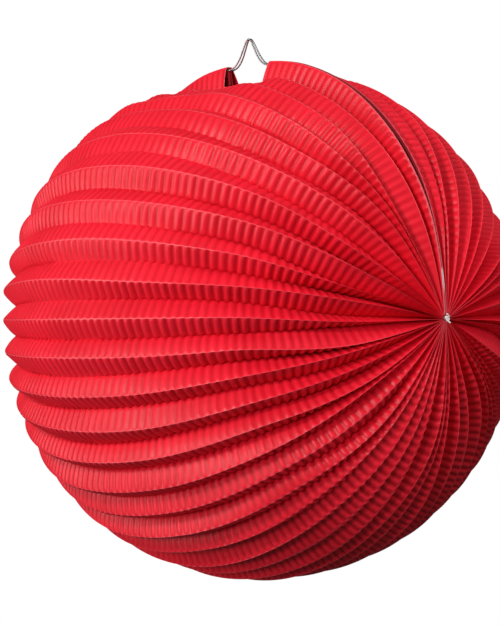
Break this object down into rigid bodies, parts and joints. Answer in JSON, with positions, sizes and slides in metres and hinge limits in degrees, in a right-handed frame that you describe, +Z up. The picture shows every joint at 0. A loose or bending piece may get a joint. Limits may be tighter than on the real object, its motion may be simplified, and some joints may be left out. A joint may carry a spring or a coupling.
{
  "type": "accordion paper lantern",
  "caption": "Round paper lantern pleated like an accordion from pole to pole, which fans open about its pole axis and hangs from two bent wire hangers.",
  "frame": {"origin": "the point under the peak of the two wire hangers, which a hook carries", "axes": "+Z up, +X along the pole axis to the right pole, so -Y faces the front of the ball"},
  "size_m": [0.2406, 0.2496, 0.2616],
  "materials": {
    "red_paper": "satin, crimped",
    "red_card": "matt, pale at the cut edges",
    "steel_wire": "bright drawn",
    "tin_plate": "dull bright",
    "tie_thread": "matt"
  },
  "bodies": {
    "rear_end": {"rear_end_leaf": "red_paper", "rear_end_card": "red_card", "left_pole_tie": "tie_thread", "right_pole_tie": "tie_thread"},
    "front_end": {"front_end_leaf": "red_paper", "front_end_card": "red_card"},
    "pleat_01": {"pleat_01": "red_paper"},
    "pleat_02": {"pleat_02": "red_paper"},
    "pleat_03": {"pleat_03": "red_paper"},
    "pleat_04": {"pleat_04": "red_paper"},
    "pleat_05": {"pleat_05": "red_paper"},
    "pleat_06": {"pleat_06": "red_paper"},
    "pleat_07": {"pleat_07": "red_paper"},
    "pleat_08": {"pleat_08": "red_paper"},
    "pleat_09": {"pleat_09": "red_paper"},
    "pleat_10": {"pleat_10": "red_paper"},
    "pleat_11": {"pleat_11": "red_paper"},
    "pleat_12": {"pleat_12": "red_paper"},
    "pleat_13": {"pleat_13": "red_paper"},
    "pleat_14": {"pleat_14": "red_paper"},
    "pleat_15": {"pleat_15": "red_paper"},
    "pleat_16": {"pleat_16": "red_paper"},
    "pleat_17": {"pleat_17": "red_paper"},
    "pleat_18": {"pleat_18": "red_paper"},
    "pleat_19": {"pleat_19": "red_paper"},
    "pleat_20": {"pleat_20": "red_paper"},
    "pleat_21": {"pleat_21": "red_paper"},
    "pleat_22": {"pleat_22": "red_paper"},
    "pleat_23": {"pleat_23": "red_paper", "candle_saddle": "tin_plate", "candle_cup": "tin_plate", "candle_rivet": "tin_plate"},
    "pleat_24": {"pleat_24": "red_paper"},
    "pleat_25": {"pleat_25": "red_paper"},
    "pleat_26": {"pleat_26": "red_paper"},
    "pleat_27": {"pleat_27": "red_paper"},
    "pleat_28": {"pleat_28": "red_paper"},
    "pleat_29": {"pleat_29": "red_paper"},
    "pleat_30": {"pleat_30": "red_paper"},
    "pleat_31": {"pleat_31": "red_paper"},
    "pleat_32": {"pleat_32": "red_paper"},
    "pleat_33": {"pleat_33": "red_paper"},
    "pleat_34": {"pleat_34": "red_paper"},
    "pleat_35": {"pleat_35": "red_paper"},
    "pleat_36": {"pleat_36": "red_paper"},
    "pleat_37": {"pleat_37": "red_paper"},
    "pleat_38": {"pleat_38": "red_paper"},
    "pleat_39": {"pleat_39": "red_paper"},
    "pleat_40": {"pleat_40": "red_paper"},
    "pleat_41": {"pleat_41": "red_paper"},
    "pleat_42": {"pleat_42": "red_paper"},
    "pleat_43": {"pleat_43": "red_paper"},
    "pleat_44": {"pleat_44": "red_paper"},
    "pleat_45": {"pleat_45": "red_paper"},
    "rear_hanger": {"rear_hanger": "steel_wire"},
    "front_hanger": {"front_hanger": "steel_wire"}
  },
  "joints": [
    {"name": "fan_fold", "type": "hinge", "parent": "rear_end", "child": "front_end", "pos_m": [0, 0, -0.1358], "axis": [1, 0, 0], "range_deg": [0, 344], "deforming": ["rear_end_leaf", "front_end_leaf"]},
    {"name": "pleat_01_fold", "type": "hinge", "parent": "rear_end", "child": "pleat_01", "pos_m": [0, 0, -0.1358], "axis": [1, 0, 0], "range_deg": [0, 4.52], "deforming": ["pleat_01"]},
    {"name": "pleat_02_fold", "type": "hinge", "parent": "rear_end", "child": "pleat_02", "pos_m": [0, 0, -0.1358], "axis": [1, 0, 0], "range_deg": [0, 13.45], "deforming": ["pleat_02"]},
    {"name": "pleat_03_fold", "type": "hinge", "parent": "rear_end", "child": "pleat_03", "pos_m": [0, 0, -0.1358], "axis": [1, 0, 0], "range_deg": [0, 22.34], "deforming": ["pleat_03"]},
    {"name": "pleat_04_fold", "type": "hinge", "parent": "rear_end", "child": "pleat_04", "pos_m": [0, 0, -0.1358], "axis": [1, 0, 0], "range_deg": [0, 31.18], "deforming": ["pleat_04"]},
    {"name": "pleat_05_fold", "type": "hinge", "parent": "rear_end", "child": "pleat_05", "pos_m": [0, 0, -0.1358], "axis": [1, 0, 0], "range_deg": [0, 39.92], "deforming": ["pleat_05"]},
    {"name": "pleat_06_fold", "type": "hinge", "parent": "rear_end", "child": "pleat_06", "pos_m": [0, 0, -0.1358], "axis": [1, 0, 0], "range_deg": [0, 48.56], "deforming": ["pleat_06"]},
    {"name": "pleat_07_fold", "type": "hinge", "parent": "rear_end", "child": "pleat_07", "pos_m": [0, 0, -0.1358], "axis": [1, 0, 0], "range_deg": [0, 57.07], "deforming": ["pleat_07"]},
    {"name": "pleat_08_fold", "type": "hinge", "parent": "rear_end", "child": "pleat_08", "pos_m": [0, 0, -0.1358], "axis": [1, 0, 0], "range_deg": [0, 65.44], "deforming": ["pleat_08"]},
    {"name": "pleat_09_fold", "type": "hinge", "parent": "rear_end", "child": "pleat_09", "pos_m": [0, 0, -0.1358], "axis": [1, 0, 0], "range_deg": [0, 73.66], "deforming": ["pleat_09"]},
    {"name": "pleat_10_fold", "type": "hinge", "parent": "rear_end", "child": "pleat_10", "pos_m": [0, 0, -0.1358], "axis": [1, 0, 0], "range_deg": [0, 81.7], "deforming": ["pleat_10"]},
    {"name": "pleat_11_fold", "type": "hinge", "parent": "rear_end", "child": "pleat_11", "pos_m": [0, 0, -0.1358], "axis": [1, 0, 0], "range_deg": [0, 89.57], "deforming": ["pleat_11"]},
    {"name": "pleat_12_fold", "type": "hinge", "parent": "rear_end", "child": "pleat_12", "pos_m": [0, 0, -0.1358], "axis": [1, 0, 0], "range_deg": [0, 97.26], "deforming": ["pleat_12"]},
    {"name": "pleat_13_fold", "type": "hinge", "parent": "rear_end", "child": "pleat_13", "pos_m": [0, 0, -0.1358], "axis": [1, 0, 0], "range_deg": [0, 104.77], "deforming": ["pleat_13"]},
    {"name": "pleat_14_fold", "type": "hinge", "parent": "rear_end", "child": "pleat_14", "pos_m": [0, 0, -0.1358], "axis": [1, 0, 0], "range_deg": [0, 112.1], "deforming": ["pleat_14"]},
    {"name": "pleat_15_fold", "type": "hinge", "parent": "rear_end", "child": "pleat_15", "pos_m": [0, 0, -0.1358], "axis": [1, 0, 0], "range_deg": [0, 119.26], "deforming": ["pleat_15"]},
    {"name": "pleat_16_fold", "type": "hinge", "parent": "rear_end", "child": "pleat_16", "pos_m": [0, 0, -0.1358], "axis": [1, 0, 0], "range_deg": [0, 126.25], "deforming": ["pleat_16"]},
    {"name": "pleat_17_fold", "type": "hinge", "parent": "rear_end", "child": "pleat_17", "pos_m": [0, 0, -0.1358], "axis": [1, 0, 0], "range_deg": [0, 133.1], "deforming": ["pleat_17"]},
    {"name": "pleat_18_fold", "type": "hinge", "parent": "rear_end", "child": "pleat_18", "pos_m": [0, 0, -0.1358], "axis": [1, 0, 0], "range_deg": [0, 139.81], "deforming": ["pleat_18"]},
    {"name": "pleat_19_fold", "type": "hinge", "parent": "rear_end", "child": "pleat_19", "pos_m": [0, 0, -0.1358], "axis": [1, 0, 0], "range_deg": [0, 146.4], "deforming": ["pleat_19"]},
    {"name": "pleat_20_fold", "type": "hinge", "parent": "rear_end", "child": "pleat_20", "pos_m": [0, 0, -0.1358], "axis": [1, 0, 0], "range_deg": [0, 152.9], "deforming": ["pleat_20"]},
    {"name": "pleat_21_fold", "type": "hinge", "parent": "rear_end", "child": "pleat_21", "pos_m": [0, 0, -0.1358], "axis": [1, 0, 0], "range_deg": [0, 159.33], "deforming": ["pleat_21"]},
    {"name": "pleat_22_fold", "type": "hinge", "parent": "rear_end", "child": "pleat_22", "pos_m": [0, 0, -0.1358], "axis": [1, 0, 0], "range_deg": [0, 165.7], "deforming": ["pleat_22"]},
    {"name": "pleat_23_fold", "type": "hinge", "parent": "rear_end", "child": "pleat_23", "pos_m": [0, 0, -0.1358], "axis": [1, 0, 0], "range_deg": [0, 172.05], "deforming": ["pleat_23"]},
    {"name": "pleat_24_fold", "type": "hinge", "parent": "rear_end", "child": "pleat_24", "pos_m": [0, 0, -0.1358], "axis": [1, 0, 0], "range_deg": [0, 178.4], "deforming": ["pleat_24"]},
    {"name": "pleat_25_fold", "type": "hinge", "parent": "rear_end", "child": "pleat_25", "pos_m": [0, 0, -0.1358], "axis": [1, 0, 0], "range_deg": [0, 184.77], "deforming": ["pleat_25"]},
    {"name": "pleat_26_fold", "type": "hinge", "parent": "rear_end", "child": "pleat_26", "pos_m": [0, 0, -0.1358], "axis": [1, 0, 0], "range_deg": [0, 191.2], "deforming": ["pleat_26"]},
    {"name": "pleat_27_fold", "type": "hinge", "parent": "rear_end", "child": "pleat_27", "pos_m": [0, 0, -0.1358], "axis": [1, 0, 0], "range_deg": [0, 197.7], "deforming": ["pleat_27"]},
    {"name": "pleat_28_fold", "type": "hinge", "parent": "rear_end", "child": "pleat_28", "pos_m": [0, 0, -0.1358], "axis": [1, 0, 0], "range_deg": [0, 204.29], "deforming": ["pleat_28"]},
    {"name": "pleat_29_fold", "type": "hinge", "parent": "rear_end", "child": "pleat_29", "pos_m": [0, 0, -0.1358], "axis": [1, 0, 0], "range_deg": [0, 211], "deforming": ["pleat_29"]},
    {"name": "pleat_30_fold", "type": "hinge", "parent": "rear_end", "child": "pleat_30", "pos_m": [0, 0, -0.1358], "axis": [1, 0, 0], "range_deg": [0, 217.85], "deforming": ["pleat_30"]},
    {"name": "pleat_31_fold", "type": "hinge", "parent": "rear_end", "child": "pleat_31", "pos_m": [0, 0, -0.1358], "axis": [1, 0, 0], "range_deg": [0, 224.84], "deforming": ["pleat_31"]},
    {"name": "pleat_32_fold", "type": "hinge", "parent": "rear_end", "child": "pleat_32", "pos_m": [0, 0, -0.1358], "axis": [1, 0, 0], "range_deg": [0, 232], "deforming": ["pleat_32"]},
    {"name": "pleat_33_fold", "type": "hinge", "parent": "rear_end", "child": "pleat_33", "pos_m": [0, 0, -0.1358], "axis": [1, 0, 0], "range_deg": [0, 239.33], "deforming": ["pleat_33"]},
    {"name": "pleat_34_fold", "type": "hinge", "parent": "rear_end", "child": "pleat_34", "pos_m": [0, 0, -0.1358], "axis": [1, 0, 0], "range_deg": [0, 246.84], "deforming": ["pleat_34"]},
    {"name": "pleat_35_fold", "type": "hinge", "parent": "rear_end", "child": "pleat_35", "pos_m": [0, 0, -0.1358], "axis": [1, 0, 0], "range_deg": [0, 254.53], "deforming": ["pleat_35"]},
    {"name": "pleat_36_fold", "type": "hinge", "parent": "rear_end", "child": "pleat_36", "pos_m": [0, 0, -0.1358], "axis": [1, 0, 0], "range_deg": [0, 262.4], "deforming": ["pleat_36"]},
    {"name": "pleat_37_fold", "type": "hinge", "parent": "rear_end", "child": "pleat_37", "pos_m": [0, 0, -0.1358], "axis": [1, 0, 0], "range_deg": [0, 270.44], "deforming": ["pleat_37"]},
    {"name": "pleat_38_fold", "type": "hinge", "parent": "rear_end", "child": "pleat_38", "pos_m": [0, 0, -0.1358], "axis": [1, 0, 0], "range_deg": [0, 278.66], "deforming": ["pleat_38"]},
    {"name": "pleat_39_fold", "type": "hinge", "parent": "rear_end", "child": "pleat_39", "pos_m": [0, 0, -0.1358], "axis": [1, 0, 0], "range_deg": [0, 287.03], "deforming": ["pleat_39"]},
    {"name": "pleat_40_fold", "type": "hinge", "parent": "rear_end", "child": "pleat_40", "pos_m": [0, 0, -0.1358], "axis": [1, 0, 0], "range_deg": [0, 295.54], "deforming": ["pleat_40"]},
    {"name": "pleat_41_fold", "type": "hinge", "parent": "rear_end", "child": "pleat_41", "pos_m": [0, 0, -0.1358], "axis": [1, 0, 0], "range_deg": [0, 304.18], "deforming": ["pleat_41"]},
    {"name": "pleat_42_fold", "type": "hinge", "parent": "rear_end", "child": "pleat_42", "pos_m": [0, 0, -0.1358], "axis": [1, 0, 0], "range_deg": [0, 312.92], "deforming": ["pleat_42"]},
    {"name": "pleat_43_fold", "type": "hinge", "parent": "rear_end", "child": "pleat_43", "pos_m": [0, 0, -0.1358], "axis": [1, 0, 0], "range_deg": [0, 321.76], "deforming": ["pleat_43"]},
    {"name": "pleat_44_fold", "type": "hinge", "parent": "rear_end", "child": "pleat_44", "pos_m": [0, 0, -0.1358], "axis": [1, 0, 0], "range_deg": [0, 330.65], "deforming": ["pleat_44"]},
    {"name": "pleat_45_fold", "type": "hinge", "parent": "rear_end", "child": "pleat_45", "pos_m": [0, 0, -0.1358], "axis": [1, 0, 0], "range_deg": [0, 339.58], "deforming": ["pleat_45"]},
    {"name": "rear_hanger_swing", "type": "hinge", "parent": "rear_end", "child": "rear_hanger", "pos_m": [0, 0.0012, -0.0135], "axis": [1, 0, 0], "range_deg": [-90, 0]},
    {"name": "front_hanger_swing", "type": "hinge", "parent": "front_end", "child": "front_hanger", "pos_m": [0, -0.0012, -0.0135], "axis": [1, 0, 0], "range_deg": [0, 90]}
  ],
  "couplings": [
    {"joint": "pleat_01_fold", "follows": "fan_fold", "ratio": 0.012998},
    {"joint": "pleat_02_fold", "follows": "fan_fold", "ratio": 0.038959},
    {"joint": "pleat_03_fold", "follows": "fan_fold", "ratio": 0.064809},
    {"joint": "pleat_04_fold", "follows": "fan_fold", "ratio": 0.09048},
    {"joint": "pleat_05_fold", "follows": "fan_fold", "ratio": 0.1159},
    {"joint": "pleat_06_fold", "follows": "fan_fold", "ratio": 0.14102},
    {"joint": "pleat_07_fold", "follows": "fan_fold", "ratio": 0.16576},
    {"joint": "pleat_08_fold", "follows": "fan_fold", "ratio": 0.1901},
    {"joint": "pleat_09_fold", "follows": "fan_fold", "ratio": 0.21397},
    {"joint": "pleat_10_fold", "follows": "fan_fold", "ratio": 0.23736},
    {"joint": "pleat_11_fold", "follows": "fan_fold", "ratio": 0.26024},
    {"joint": "pleat_12_fold", "follows": "fan_fold", "ratio": 0.28259},
    {"joint": "pleat_13_fold", "follows": "fan_fold", "ratio": 0.30442},
    {"joint": "pleat_14_fold", "follows": "fan_fold", "ratio": 0.32573},
    {"joint": "pleat_15_fold", "follows": "fan_fold", "ratio": 0.34654},
    {"joint": "pleat_16_fold", "follows": "fan_fold", "ratio": 0.36688},
    {"joint": "pleat_17_fold", "follows": "fan_fold", "ratio": 0.38677},
    {"joint": "pleat_18_fold", "follows": "fan_fold", "ratio": 0.40628},
    {"joint": "pleat_19_fold", "follows": "fan_fold", "ratio": 0.42545},
    {"joint": "pleat_20_fold", "follows": "fan_fold", "ratio": 0.44434},
    {"joint": "pleat_21_fold", "follows": "fan_fold", "ratio": 0.46301},
    {"joint": "pleat_22_fold", "follows": "fan_fold", "ratio": 0.48154},
    {"joint": "pleat_23_fold", "follows": "fan_fold", "ratio": 0.5},
    {"joint": "pleat_24_fold", "follows": "fan_fold", "ratio": 0.51846},
    {"joint": "pleat_25_fold", "follows": "fan_fold", "ratio": 0.53699},
    {"joint": "pleat_26_fold", "follows": "fan_fold", "ratio": 0.55566},
    {"joint": "pleat_27_fold", "follows": "fan_fold", "ratio": 0.57455},
    {"joint": "pleat_28_fold", "follows": "fan_fold", "ratio": 0.59372},
    {"joint": "pleat_29_fold", "follows": "fan_fold", "ratio": 0.61323},
    {"joint": "pleat_30_fold", "follows": "fan_fold", "ratio": 0.63313},
    {"joint": "pleat_31_fold", "follows": "fan_fold", "ratio": 0.65346},
    {"joint": "pleat_32_fold", "follows": "fan_fold", "ratio": 0.67427},
    {"joint": "pleat_33_fold", "follows": "fan_fold", "ratio": 0.69558},
    {"joint": "pleat_34_fold", "follows": "fan_fold", "ratio": 0.7174},
    {"joint": "pleat_35_fold", "follows": "fan_fold", "ratio": 0.73976},
    {"joint": "pleat_36_fold", "follows": "fan_fold", "ratio": 0.76264},
    {"joint": "pleat_37_fold", "follows": "fan_fold", "ratio": 0.78602},
    {"joint": "pleat_38_fold", "follows": "fan_fold", "ratio": 0.8099},
    {"joint": "pleat_39_fold", "follows": "fan_fold", "ratio": 0.83423},
    {"joint": "pleat_40_fold", "follows": "fan_fold", "ratio": 0.85898},
    {"joint": "pleat_41_fold", "follows": "fan_fold", "ratio": 0.8841},
    {"joint": "pleat_42_fold", "follows": "fan_fold", "ratio": 0.90952},
    {"joint": "pleat_43_fold", "follows": "fan_fold", "ratio": 0.93519},
    {"joint": "pleat_44_fold", "follows": "fan_fold", "ratio": 0.96104},
    {"joint": "pleat_45_fold", "follows": "fan_fold", "ratio": 0.987}
  ]
}
